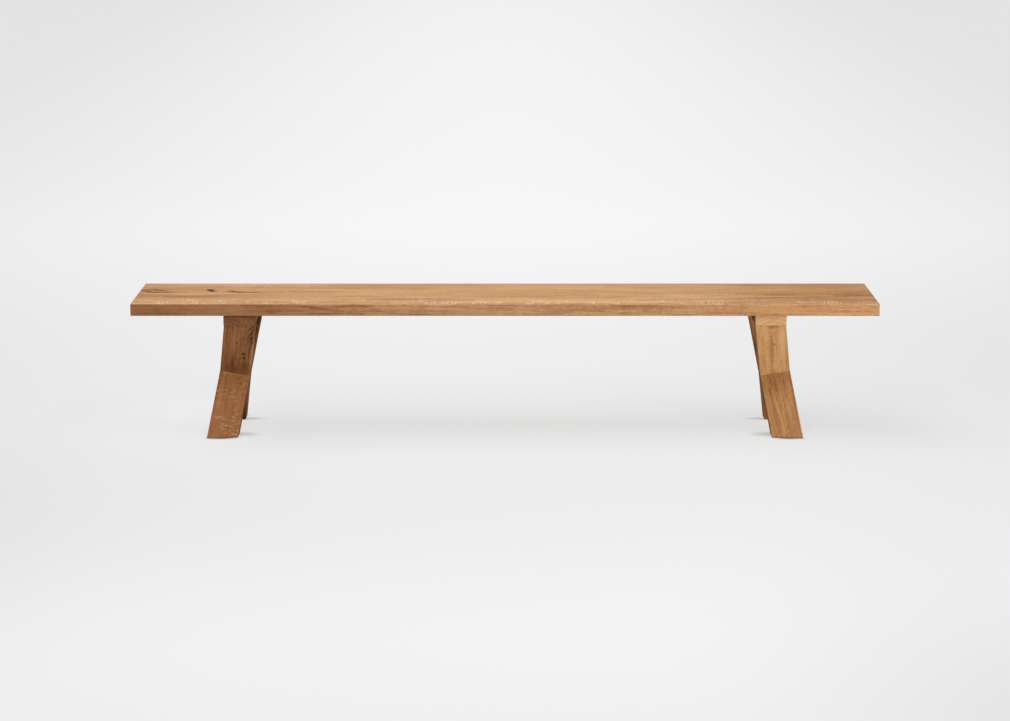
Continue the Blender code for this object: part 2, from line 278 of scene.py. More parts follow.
room = bpy.data.worlds.new("white_room")
room.use_nodes = True
room.node_tree.nodes.clear()
scene.world = room
tree = room.node_tree
ray = add(tree, "LightPath", {})
fill = add(tree, "Background", {"Color": linear("#FFFFFF"), "Strength": ROOM_LIGHT})
sheen = add(tree, "Background", {"Color": linear("#FFFFFF"), "Strength": ROOM_SHEEN})
backdrop = add(tree, "Background", {"Color": linear("#E2E2E2"), "Strength": BACKDROP})
chosen = add(tree, "MixShader", {0: ray.outputs["Is Glossy Ray"], 1: fill, 2: sheen})
chosen = add(tree, "MixShader", {0: ray.outputs["Is Camera Ray"], 1: chosen, 2: backdrop})
add(tree, "OutputWorld", {"Surface": chosen})
print("light of the room:", ROOM_LIGHT)

# %% Lamps
LAMPS = {  # place, target, size and watts
    "key_lamp": ((2.7, -2.2, 0.7), (0.6, 0, 0.35), (1.6, 1.2), 47),
    "top_lamp": ((-0.35, -0.25, 3.2), (0.1, -0.05, 0.4), (4.2, 2.2), 100),
    "front_lamp": ((-1.4, -4.6, 4.0), (0, 0, 0.3), (2.4, 1.4), 78),
}

for name, (place, target, size, watts) in LAMPS.items():
    lamp = bpy.data.objects.new(name, bpy.data.lights.new(name, "AREA"))
    lamp.data.shape = "RECTANGLE"
    lamp.data.size, lamp.data.size_y = size
    lamp.data.energy = watts
    lamp.location = place
    lamp.rotation_euler = (Vector(target) - Vector(place)).to_track_quat("-Z", "Y").to_euler()
    scene.collection.objects.link(lamp)
    print(name, "watts:", watts)

# %% [markdown]
# ## How a board sits in its tree
#
# Wood is a solid, not a skin: the rings that show as arches on a broad face end as arcs on the
# sawn end. So every oak pattern here is worked out in three dimensions, in the board's own
# frame: along its grain, across its broad face, and through its thickness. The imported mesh
# tells that frame: the longest edge runs along the grain, and the largest face is a broad one.
# The through axis points out of the face that looks up, or to the front.

# %% A board's own frame
MERGE_DISTANCE = 0.00001
FLAT_ANGLE = math.radians(0.1)
AHEAD = (1, 0.5, 2)  # the along axis goes with this direction and not against it
OUTWARD = (0, -1, 0.5)  # and so does the through axis with this one, up or to the front


def solid_mesh(node):
    """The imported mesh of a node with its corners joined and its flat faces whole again."""
    bm = bmesh.new()
    bm.from_mesh(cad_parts[node].data)
    bmesh.ops.remove_doubles(bm, verts=bm.verts[:], dist=MERGE_DISTANCE)
    bmesh.ops.dissolve_limit(bm, angle_limit=FLAT_ANGLE, verts=bm.verts[:], edges=bm.edges[:])
    return bm


def facing(direction, towards):
    return direction if direction.dot(Vector(towards)) > 0 else -direction


def board_frame(node):
    """The board's frame as a matrix, and half its size along, across and through."""
    bm = solid_mesh(node)
    edge = max(bm.edges, key=lambda e: e.calc_length())
    face = max(bm.faces, key=lambda f: f.calc_area())
    along = facing((edge.verts[1].co - edge.verts[0].co).normalized(), AHEAD)
    through = facing(face.normal.normalized(), OUTWARD)
    axes = (along, through.cross(along).normalized(), through)
    spans = [[v.co.dot(axis) for v in bm.verts] for axis in axes]
    bm.free()
    half = Vector([(max(span) - min(span)) / 2 for span in spans])
    middle = sum((axis * (max(span) + min(span)) / 2 for axis, span in zip(axes, spans)), Vector())
    return Matrix.Translation(middle) @ Matrix(axes).transposed().to_4x4(), half


for name in ("seat_stave_1", "left_rail", "left_board_front_foot"):
    print(name, "half size, mm:", [round(c * 1000, 1) for c in board_frame(name)[1]])

# %% [markdown]
# ## Open wood: cracks, checks and knot holes
#
# Oak dries unevenly, so a broad plank opens along its grain, mostly near its ends and beside
# knots. A painted line would vanish from the side, so each crack is really cut: a thin wedge is
# laid along a wandering path and taken out of the board with a Boolean. A knot that has shrunk
# leaves an uneven pit, cut with a dented ball.
#
# Paths and places are in the board's own frame, so they are easy to measure from its middle.

# %% Crack cutters
CRACK_STEP = 0.003
CRACK_WANDER = 0.0007
WANDERS_PER_METRE = 90
WANDER_SEED = 7
CRACK_RAGGEDNESS = 0.5  # how much of its width comes and goes
RAGS_PER_METRE = 160
RAG_SEED = 3
CRACK_TIP = 0.02  # how open it still is at its tips
CRACK_BLUNTNESS = 0.7  # less than 1, so that it opens fast behind the tip
CUT_OVERRUN = 0.0010  # how far the wedge stands out of the face


def along_path(path, step):
    """Points every step along straight runs between the path's points."""
    points = [Vector(path[0])]
    for start, end in zip(path, path[1:]):
        run = Vector(end) - Vector(start)
        pieces = max(1, round(run.length / step))
        points += [Vector(start) + run * (i + 1) / pieces for i in range(pieces)]
    return points


def crack_mesh(half, crack):
    """A wedge along the path, on the face that looks up or out. It is widest at the peak."""
    bm = bmesh.new()
    points = along_path(crack["path"], CRACK_STEP)
    rows = []
    for i, point in enumerate(points):
        share = i / (len(points) - 1)
        before = share / crack["peak"]
        after = (1 - share) / (1 - crack["peak"])
        open_share = max(min(before, after), CRACK_TIP) ** CRACK_BLUNTNESS
        ragged = 1 + CRACK_RAGGEDNESS * noise((*point * RAGS_PER_METRE, RAG_SEED))
        spread = crack["width"] / 2 * open_share * ragged
        drift = CRACK_WANDER * noise((*point * WANDERS_PER_METRE, WANDER_SEED))
        top = half.z + CUT_OVERRUN
        bottom = half.z - crack["depth"] * open_share
        corners = ((-spread, top), (spread, top), (0, bottom))
        rows.append([bm.verts.new((point.x, point.y + drift + dy, z)) for dy, z in corners])
    for first, second in zip(rows, rows[1:]):
        for i in range(3):
            j = (i + 1) % 3
            bm.faces.new((first[i], first[j], second[j], second[i]))
    bm.faces.new(reversed(rows[0]))
    bm.faces.new(rows[-1])
    bmesh.ops.recalc_face_normals(bm, faces=bm.faces[:])
    return bm


print("a crack is laid in steps of, mm:", CRACK_STEP * 1000)

# %% Knot hole cutters
PIT_DENT = 0.35
DENTS_ACROSS = 1.7
DENT_SEED = 50  # times the pit's place, so that no two pits are alike


def pit_mesh(half, pit):
    """A dented ball that sinks into the face. Its size is given along, across and deep."""
    bm = bmesh.new()
    bmesh.ops.create_icosphere(bm, subdivisions=3, radius=1)
    (x, y), turn, (length, width, depth) = pit["place"], pit["turn"], pit["size"]
    for vert in bm.verts:
        dent = 1 + PIT_DENT * noise(vert.co * DENTS_ACROSS + Vector((x, y, 0)) * DENT_SEED)
        vert.co = Vector((vert.co.x * length / 2, vert.co.y * width / 2, vert.co.z * depth)) * dent
    bmesh.ops.rotate(bm, verts=bm.verts[:], matrix=Matrix.Rotation(turn, 3, "Z"))
    bmesh.ops.translate(bm, verts=bm.verts[:], vec=(x, y, half.z))
    return bm


print("a knot hole is dented by up to, percent:", PIT_DENT * 100)

# %% [markdown]
# ## A board, opened
#
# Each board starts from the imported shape, so its size, its joints and its bolt holes stay true.
# The cutters are applied and thrown away. Only the narrow faces are then smoothed, which are
# those of the rounded arrises, so the broad ones stay dead flat to the light.

# %% Build a board
NARROW = 0.002  # wider than the faces of a rounded arris


def link_mesh(name, bm):
    mesh = bpy.data.meshes.new(name)
    bm.to_mesh(mesh)
    bm.free()
    obj = bpy.data.objects.new(name, mesh)
    scene.collection.objects.link(obj)
    return obj


def open_board(name, node, cracks, pits):
    """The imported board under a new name, with its cracks and pits cut and its arrises smooth."""
    grain, half = board_frame(node)
    board = link_mesh(name, solid_mesh(node))
    cutters = [link_mesh("crack", crack_mesh(half, crack)) for crack in cracks]
    cutters += [link_mesh("pit", pit_mesh(half, pit)) for pit in pits]
    for cutter in cutters:
        cutter.matrix_world = grain
        boolean = board.modifiers.new("open", "BOOLEAN")
        boolean.solver = "EXACT"
        boolean.object = cutter
    bpy.context.view_layer.update()
    evaluated = board.evaluated_get(bpy.context.evaluated_depsgraph_get())
    opened = bpy.data.meshes.new_from_object(evaluated)
    board.modifiers.clear()
    board.data = opened
    for cutter in cutters:
        bpy.data.objects.remove(cutter)
    bm = bmesh.new()
    bm.from_mesh(opened)
    for face in bm.faces:
        face.smooth = face.calc_area() < NARROW * max(edge.calc_length() for edge in face.edges)
    bm.to_mesh(opened)
    bm.free()
    return board


print("smoothed faces are narrower than, mm:", NARROW * 1000)

# %% [markdown]
# ## Growth rings
#
# Oak lays down a ring each year: a dark band of large pores in spring, then denser, paler wood.
# The rings lie round the heart of the tree. How far the heart is from the board, and on which
# side, decides whether a face shows wide arches or straight lines. The trunk wanders a little
# and tapers, which is what opens the arches. A knot pushes the rings aside as it passes, so its
# swirl is a bulge in the rings' radius.
#
# From here on, a point has two addresses: its place on the board, and its place in the tree,
# which is along the trunk, out from the heart, and around it. All of them are in metres, so the
# patterns can be given in real sizes.

# %% Place in the tree
TRUNK_WANDER = 0.016
WANDER_SIZE = (0.9, 0.33, 0.33)
TRUNK_TAPER = 0.012  # the rings' radius grows by this much in each metre
KNOT_BULGE = 2  # a knot pushes the rings aside over so many times its own length and width


def sized_noise(tree, where, size, seed=0, detail=2, roughness=0.5):
    """Soft noise about 0.5, with features as long, wide and deep as the size says."""
    scaled = {"Vector": where, "Location": (seed, seed, seed)}
    scaled = add(tree, "Mapping", {**scaled, "Scale": [1 / length for length in size]})
    look = {"Vector": scaled, "Scale": 1, "Detail": detail, "Roughness": roughness}
    return add(tree, "TexNoise", look)


def place_in_tree(tree, place, timber):
    """The point's place in the tree, its distance from the heart, and the way out from it."""
    heart = Vector((0, *timber["heart"]))
    ahead, aside = -heart.normalized(), Vector((1, 0, 0)).cross(-heart.normalized())
    wander = sized_noise(tree, place, WANDER_SIZE, timber["seed"]).outputs["Color"]
    shift = {0: wander, 1: (0, TRUNK_WANDER, TRUNK_WANDER), 2: -heart}
    shift = add(tree, "VectorMath", shift, operation="MULTIPLY_ADD")
    grown = add(tree, "VectorMath", {0: place, 1: shift}, operation="ADD")
    outwards = add(tree, "VectorMath", {0: grown, 1: (0, 1, 1)}, operation="MULTIPLY")
    along = add(tree, "SeparateXYZ", {0: grown})
    radius = add(tree, "VectorMath", {0: outwards}, operation="LENGTH")
    radius = add(tree, "Math", {0: along, 1: TRUNK_TAPER, 2: radius}, operation="MULTIPLY_ADD")
    for (middle, slant, length, width), push in timber.get("knots", ()):
        bulge = near(tree, place, (middle, slant, length * KNOT_BULGE, width * KNOT_BULGE))
        radius = add(tree, "Math", {0: bulge, 1: push, 2: radius}, operation="MULTIPLY_ADD")
    ahead = add(tree, "VectorMath", {0: outwards, 1: ahead}, operation="DOT_PRODUCT")
    aside = add(tree, "VectorMath", {0: outwards, 1: aside}, operation="DOT_PRODUCT")
    turn = add(tree, "Math", {0: aside, 1: ahead}, operation="ARCTAN2")
    around = add(tree, "Math", {0: turn, 1: heart.length}, operation="MULTIPLY")
    return add(tree, "CombineXYZ", {"X": along, "Y": radius, "Z": around}), radius, outwards


print("trunk taper, mm in each metre:", TRUNK_TAPER * 1000)

# %% Spring bands
SPRING_SHARE = 0.5  # of a ring's width
RING_JITTER = (0.12, 0.006, 0.006)  # rings vary in width over such lengths


def spring_bands(tree, place, radius, ring_width):
    """How deep a point lies in a dark spring band. Some years have a stronger one than others."""
    jitter = sized_noise(tree, place, RING_JITTER, detail=1)
    count = add(tree, "Math", {0: radius, 1: 1 / ring_width, 2: jitter}, operation="MULTIPLY_ADD")
    year = add(tree, "Math", {0: count}, operation="FLOOR")
    vigour = add(tree, "TexWhiteNoise", {"W": year}, noise_dimensions="1D")
    phase = add(tree, "Math", {0: count}, operation="FRACT")
    spring = soft_step(tree, phase, SPRING_SHARE, 0)
    return add(tree, "Math", {0: spring, 1: vigour}, operation="MULTIPLY")


print("spring's share of a ring:", SPRING_SHARE)

# %% [markdown]
# ## Streaks, fibres and pores
#
# Groups of years differ in colour, which gives long soft streaks that follow the rings. Finer
# streaks and fibres run along the grain, and a faint mottle lies across it. The pores are open
# tubes cut lengthwise, so they show as short dark dashes, most of them in the spring band.
#
# Streaks, fibres and mottle are soft noise, drawn out to the length, width and depth of what they
# stand for. Each pushes the tone of the wood to the dark or the pale side by its strength. The
# pores are long cells with a tube in each, since noise would give clouds and not dashes.

# %% Grain patterns
STREAK = (0.75, 0.050, 0.40)
FINE_STREAK = (0.20, 0.0070, 0.0070)
FIBRE = (0.035, 0.0013, 0.0013)  # real fibres are finer, but would not show in the picture
MOTTLE = (0.012, 0.006, 0.006)
STREAK_STRENGTH = 2.0
FINE_STREAK_STRENGTH = 1.5
MOTTLE_STRENGTH = 0.85
FIBRE_STRENGTH = 0.7
PORE = (0.014, 0.0009, 0.0009)  # three times as wide as real ones, which would not show either
PORE_RIM = (0.42, 0.18)  # where a pore starts and where it is full, in shares of that size
SUMMER_PORES = 0.15  # how strong they are outside the spring band


def streaked_tone(tree, place, in_tree, fibre, timber):
    """The wood's tone, 0 dark to 1 pale: its patterns, each with a strength, about the middle."""
    seed = timber["seed"]
    patterns = [
        (sized_noise(tree, in_tree, STREAK, seed, detail=4, roughness=0.6), STREAK_STRENGTH),
        (sized_noise(tree, place, FINE_STREAK, seed, detail=3, roughness=0.6), FINE_STREAK_STRENGTH),
        (sized_noise(tree, place, MOTTLE, seed, detail=3), MOTTLE_STRENGTH),
        (fibre, FIBRE_STRENGTH),
    ]
    figure = timber.get("figure", 1)
    tone = 0.5 - figure * sum(strength for _, strength in patterns) / 2
    for pattern, strength in patterns:
        push = {0: pattern, 1: figure * strength, 2: tone}
        tone = add(tree, "Math", push, operation="MULTIPLY_ADD")
    return tone


def pores(tree, place, spring):
    """Long cells, each with a tube along its middle. They are fainter outside the spring band."""
    scaled = add(tree, "Mapping", {"Vector": place, "Scale": [1 / length for length in PORE]})
    tube = soft_step(tree, add(tree, "TexVoronoi", {"Vector": scaled, "Scale": 1}), *PORE_RIM)
    share = add(tree, "MapRange", {"Value": spring, "To Min": SUMMER_PORES, "To Max": 1})
    return add(tree, "Math", {0: tube, 1: share}, operation="MULTIPLY")


print("fibre as drawn, mm:", [round(length * 1000, 1) for length in FIBRE])

# %% [markdown]
# ## Rays
#
# Rays are thin sheets that run from the heart to the bark. Where a face is cut along them they
# show as pale shining flecks across the grain, in clusters. Where it crosses them they are too
# thin to be seen here. So the flecks are drawn in the tree's own directions, and then masked by
# how nearly the face is cut along a ray. A board may keep them to a band along one of its sides.

# %% Ray flecks
RAY_FLECK = (0.006, 0.024, 0.0030)
FLECK_RIM = (0.51, 0.61)
RAY_CLUSTER = (0.060, 0.080, 0.0200)
CLUSTER_RIM = 0.24  # how softly a cluster starts
CUT_ALONG_RAY = (0.80, 0.97)  # 1 would be a face that is cut exactly along them


def ray_flecks(tree, place, in_tree, outwards, normal, timber):
    """Flecks, in clusters, on faces that are cut along the rays."""
    fleck = soft_step(tree, sized_noise(tree, in_tree, RAY_FLECK, detail=1), *FLECK_RIM)
    cluster = sized_noise(tree, in_tree, RAY_CLUSTER, detail=1)
    _, _, sparseness = timber["rays"]
    cluster = soft_step(tree, cluster, sparseness, sparseness + CLUSTER_RIM)
    sheet = add(tree, "VectorMath", {0: (1, 0, 0), 1: outwards}, operation="CROSS_PRODUCT")
    sheet = add(tree, "VectorMath", {0: sheet}, operation="NORMALIZE")
    cut = add(tree, "VectorMath", {0: sheet, 1: normal}, operation="DOT_PRODUCT")
    cut = add(tree, "Math", {0: cut}, operation="ABSOLUTE")
    masks = [cluster, soft_step(tree, cut, *CUT_ALONG_RAY)]
    if "ray_band" in timber:
        across = add(tree, "SeparateXYZ", {0: place}).outputs["Y"]
        masks.append(soft_step(tree, across, *timber["ray_band"]))
    for mask in masks:
        fleck = add(tree, "Math", {0: fleck, 1: mask}, operation="MULTIPLY")
    return fleck


print("a ray fleck, mm:", [round(length * 1000, 1) for length in RAY_FLECK])

# %% [markdown]
# ## Where on the board
#
# In the board's frame the distance inwards from each pair of faces is known. On an outer face
# one of them is nought, and the next one tells how near the arris is. Where even the least is
# more than a hair, the point lies inside a crack or a hole. A face that looks along the grain
# is a sawn end, which drinks more oil and is darker.
# Inside a crack or a hole the wood is painted darker the deeper it lies: painted shade.

# %% Place, wear and sawn ends
ARRIS_WEAR = 0.0035
HAIR = 0.0006
# painted shade: the inside of a crack or a hole grows dark down to this depth
CRACK_SHADE_DEPTH = 0.0035  # as deep as this, a crack is dark
END_LOOK = (0.35, 0.60)  # a face that looks this much along the grain counts as sawn across it


def place_on_board(tree, grain):
    """The point and its normal in the board's own frame, and its height above the floor."""
    here = add(tree, "TexCoord", {})
    turned = {"Rotation": grain.to_euler()}
    placed = {"Vector": here.outputs["Object"], "Location": grain.translation, **turned}
    place = add(tree, "Mapping", placed, vector_type="TEXTURE")
    normal = {"Vector": here.outputs["Normal"], **turned}
    normal = add(tree, "Mapping", normal, vector_type="TEXTURE")
    return place, normal, add(tree, "SeparateXYZ", {0: here.outputs["Object"]}).outputs["Z"]


def wear_and_depth(tree, place, half):
    """A mask of the worn arrises, and one of the inside of cracks and holes."""
    size = add(tree, "VectorMath", {0: place}, operation="ABSOLUTE")
    inset = add(tree, "VectorMath", {0: half, 1: size}, operation="SUBTRACT")
    part = add(tree, "SeparateXYZ", {0: inset})
    sides = {0: part.outputs["Y"], 1: part.outputs["Z"]}
    outer = add(tree, "Math", sides, operation="MINIMUM")
    wear = soft_step(tree, add(tree, "Math", sides, operation="MAXIMUM"), ARRIS_WEAR, 0)
    least = add(tree, "Math", {0: outer, 1: part.outputs["X"]}, operation="MINIMUM")
    return wear, soft_step(tree, least, HAIR, CRACK_SHADE_DEPTH)


def sawn_end(tree, normal):
    """A mask of the faces that look along the grain, either way."""
    slope = add(tree, "Math", {0: add(tree, "SeparateXYZ", {0: normal})}, operation="ABSOLUTE")
    return soft_step(tree, slope, *END_LOOK)


print("worn arris, mm:", ARRIS_WEAR * 1000)

# %% [markdown]
# ## Layers of colour
#
# What colours the wood lies on it in layers. A layer is a mask, a strength and a paint. Most of
# them cover what is under them, as a stain does. A few are multiplied, which tints the wood and
# lets its figure through, as oil does where it has sunk in deeper. Some layers of both kinds are
# painted light and shade, as noted where they are given.
#
# A knot and a crack have a brown halo, where the wood was bruised or has taken up grime. Its rim
# is torn along the grain, so the place where it is drawn is pushed about by noise first.

# %% Layers
FRAY = (0.060, 0.004, 0.004)  # the tongues of a torn rim


def covered(tree, colour, layer, blend="MIX"):
    """The colour under a layer, which is a mask, a strength and a paint."""
    mask, strength, paint = layer
    share = add(tree, "Math", {0: mask, 1: strength}, operation="MULTIPLY")
    both = {"Factor": share, "A": colour, "B": linear(paint)}
    return add(tree, "Mix", both, data_type="RGBA", blend_type=blend)


def frayed(tree, place, reach):
    """The place, pushed about across the grain, so that a stain drawn there has a torn rim."""
    drift = {0: sized_noise(tree, place, FRAY, detail=3), 1: (0.5, 0.5, 0.5)}  # noise's middle
    drift = add(tree, "VectorMath", drift, operation="SUBTRACT")
    shift = {0: drift, 1: (0, reach, 0), 2: place}
    return add(tree, "VectorMath", shift, operation="MULTIPLY_ADD")


print("tongues of a torn rim, mm:", [round(length * 1000, 1) for length in FRAY])

# %% Knots and cracks
CRACK_FRAY = 0.070  # from the innermost to the outermost that its rim can lie
HALO_STRENGTH = 0.6
KNOT_STRENGTH = 0.9
CRACK_STAIN_STRENGTH = 0.85
KNOT_FRAY = 1.4  # the same for a knot, of its width
KNOT_CORE = (0.30, 0.70)  # how far into its halo a knot is dark
STAIN_OVERLAP = 1.7  # of a stretch of a crack, so that the stains of its stretches run together
KNOT_BROWN = "#4E3010"
STAIN_BROWN = "#6C3F1D"
CRACK_SHADE_BROWN = "#38210F"


def crack_stain(tree, place, cracks):
    """A halo round every stretch of every crack."""
    stain = 0
    for crack in cracks:
        width = crack["stain"]
        for start, end in zip(crack["path"], crack["path"][1:]):
            run = Vector(end) - Vector(start)
            middle = (Vector(start) + Vector(end)) / 2
            spot = (middle, math.atan2(run.y, run.x), run.length * STAIN_OVERLAP + width, width)
            stain = add(tree, "Math", {0: near(tree, place, spot), 1: stain}, operation="MAXIMUM")
    return stain


def knots_and_cracks(tree, place, depth, timber):
    """Their stains and their dark middles, as layers. The dark inside of the cracks and pits is
    painted shade.
    """
    layers = []
    for spot, _ in timber.get("knots", ()):
        halo = near(tree, frayed(tree, place, KNOT_FRAY * spot[3]), spot)
        layers.append((halo, HALO_STRENGTH, STAIN_BROWN))
        layers.append((soft_step(tree, halo, *KNOT_CORE), KNOT_STRENGTH, KNOT_BROWN))
    if "cracks" in timber:
        stain = crack_stain(tree, frayed(tree, place, CRACK_FRAY), timber["cracks"])
        layers.append((stain, CRACK_STAIN_STRENGTH, STAIN_BROWN))
        # painted shade in the depth of cracks and knot holes
        layers.append((depth, 1, CRACK_SHADE_BROWN))
    return layers


print("a crack's stain frays over at most, mm:", round(CRACK_FRAY * 1000))

# %% [markdown]
# ## Tints and marks
#
# A board's tints and marks are oval spots: its own colour, and on a few boards painted light and
# shade. Those of the seat's front edge are placed as that edge looks from the front, along it
# and up. A mask of the faces that look to the front keeps them there.

# %% Tints and marks
FRONT_LOOK = (-0.5, -0.9)  # a face counts as the front edge from the first, and fully at the second


def front_edge(tree, place, normal):
    """The board as its front edge shows it, along and up, and a mask of that edge alone."""
    turned = add(tree, "Mapping", {"Vector": place, "Rotation": (math.radians(-90), 0, 0)})
    look = add(tree, "SeparateXYZ", {0: normal}).outputs["Y"]
    return turned, soft_step(tree, look, *FRONT_LOOK)


def tints_and_marks(tree, place, normal, timber):
    """The board's tints and marks, a few of them painted light and shade. Those of a front edge stay
    on that edge.
    """
    tints = [(near(tree, place, spot), *rest) for spot, *rest in timber.get("shades", ())]
    marks = [(near(tree, place, spot), *rest) for spot, *rest in timber.get("marks", ())]
    if "edge_marks" in timber:
        on_edge, edge = front_edge(tree, place, normal)
        on_this = [
            (add(tree, "Math", {0: near(tree, on_edge, spot), 1: edge}, operation="MULTIPLY"), *rest)
            for spot, *rest in (timber["edge_painted_shade"], *timber["edge_marks"])
        ]
        tints.append(on_this[0])
        marks += on_this[1:]
    return tints, marks


widest_turn = math.degrees(math.acos(-FRONT_LOOK[0]))
print("the front edge counts up to a turn of, degrees:", round(widest_turn))

# %% [markdown]
# ## Oiled oak
#
# The bench is sanded oak under a thin coat of hardwax oil. The oil deepens the colour and gives
# a soft satin gloss. It sinks into the pores and the end grain, which stay dull, and lies on the
# rays, which shine a little more. Oil film has an index of refraction of about 1.47. The rim of
# a foot is darker: grime from the floor, and painted contact shade.
#
# One function makes this oak for every board, from a short description of its timber:
#
# - heart: where the heart of its tree lies, across and through, from the middle of the board;
# - tones: the dark, the usual and the pale colour of its wood;
# - seed: a number that gives it patterns of its own;
# - figure: how strongly they stand out, where it isn't as usual;
# - ring_width: how wide its yearly rings are, likewise;
# - rays: how strong and of which colour its ray flecks are, and how sparse;
# - ray_band: where on the board they start, going across it, and where they are full;
# - shades and marks: spots that tint it, and spots that cover it, as stains and pale streaks do;
#   a few of them are painted light and shade, as noted where they are given;
# - edge_painted_shade and edge_marks: the same for the front edge of the seat alone; the first
#   is painted shade;
# - knots, cracks and pits: a knot's spot and how far it pushes the rings, and what is cut out;
# - gloss: how much it reflects, where it isn't as usual;
# - dirt_and_shade: a height where the darkening starts, one where it is full, and its strength,
#   likewise; at the feet it is grime and painted contact shade, on the left rail painted shade.

# %% Oak material
OIL_IOR = 1.47
OIL_GLOSS = 0.5
OIL_ROUGHNESS = 0.58
RELIEF = 0.00025
RELIEF_STRENGTH = 0.6
RING_WIDTH = 0.0030
PORE_BROWN = "#70431F"
DIRT_AND_SHADE_BROWN = "#3E2818"
# the rim of a foot: grime from the floor, and painted contact shade
FLOOR_DIRT_AND_SHADE = (0.006, 0, 0.6)
SPRING_STRENGTH = 0.25
PORE_STRENGTH = 0.5
WEAR_STRENGTH = 0.1
END_STRENGTH = 0.35
END_RING_STRENGTH = 0.85
ROUGHER_PORES = 0.25
SMOOTHER_RAYS = -0.12
ROUGHER_ENDS = 0.20
SUNKEN_PORES = -1.0
SUNKEN_SPRING = -0.3


def oak_tones(tree, tone, tones):
    """The dark colour at tone 0, the usual one halfway, and the pale one at 1."""
    dark, body, pale = [linear(colour) for colour in tones]
    low = add(tree, "MapRange", {"Value": tone, "From Min": 0, "From Max": 0.5})
    high = add(tree, "MapRange", {"Value": tone, "From Min": 0.5, "From Max": 1})
    colour = add(tree, "Mix", {"Factor": low, "A": dark, "B": body}, data_type="RGBA")
    return add(tree, "Mix", {"Factor": high, "A": colour, "B": pale}, data_type="RGBA")


def oiled_oak(node, timber):
    grain, half = board_frame(node)
    material, tree = new_material("oiled oak, " + timber["name"].replace("_", " "))
    place, normal, above_floor = place_on_board(tree, grain)
    in_tree, radius, outwards = place_in_tree(tree, place, timber)
    spring = spring_bands(tree, place, radius, timber.get("ring_width", RING_WIDTH))
    fibre = sized_noise(tree, place, FIBRE)
    tone = streaked_tone(tree, place, in_tree, fibre, timber)
    pore = pores(tree, place, spring)
    fleck = ray_flecks(tree, place, in_tree, outwards, normal, timber)
    wear, depth = wear_and_depth(tree, place, half)
    end = sawn_end(tree, normal)
    end_ring = add(tree, "Math", {0: end, 1: spring}, operation="MULTIPLY")

    dark, _, pale = timber["tones"]
    fleck_strength, fleck_colour, _ = timber["rays"]
    dirt_and_shade_start, dirt_and_shade_full, dirt_and_shade_strength = timber.get("dirt_and_shade", FLOOR_DIRT_AND_SHADE)
    tints, layers = tints_and_marks(tree, place, normal, timber)
    layers += [
        (spring, SPRING_STRENGTH, dark),
        (pore, PORE_STRENGTH, PORE_BROWN),
        (fleck, fleck_strength, fleck_colour),
        (wear, WEAR_STRENGTH, pale),
        (end, END_STRENGTH, dark),
        (end_ring, END_RING_STRENGTH, dark),
        (soft_step(tree, above_floor, dirt_and_shade_start, dirt_and_shade_full), dirt_and_shade_strength, DIRT_AND_SHADE_BROWN),
        *knots_and_cracks(tree, place, depth, timber),
    ]
    colour = oak_tones(tree, tone, timber["tones"])
    for layer in tints:
        colour = covered(tree, colour, layer, "MULTIPLY")
    for layer in layers:
        colour = covered(tree, colour, layer)

    rough = OIL_ROUGHNESS
    for mask, change in ((pore, ROUGHER_PORES), (fleck, SMOOTHER_RAYS), (end, ROUGHER_ENDS)):
        rough = add(tree, "Math", {0: mask, 1: change, 2: rough}, operation="MULTIPLY_ADD")
    height = fibre
    for mask, change in ((pore, SUNKEN_PORES), (spring, SUNKEN_SPRING)):
        height = add(tree, "Math", {0: mask, 1: change, 2: height}, operation="MULTIPLY_ADD")
    relief = {"Height": height, "Distance": RELIEF, "Strength": RELIEF_STRENGTH}
    surface = {"Base Color": colour, "Roughness": rough, "Normal": add(tree, "Bump", relief)}
    surface["IOR"] = OIL_IOR
    surface["Specular IOR Level"] = timber.get("gloss", OIL_GLOSS)
    add(tree, "OutputMaterial", {"Surface": add(tree, "BsdfPrincipled", surface)})
    return material


print("relief of the grain, mm:", RELIEF * 1000)
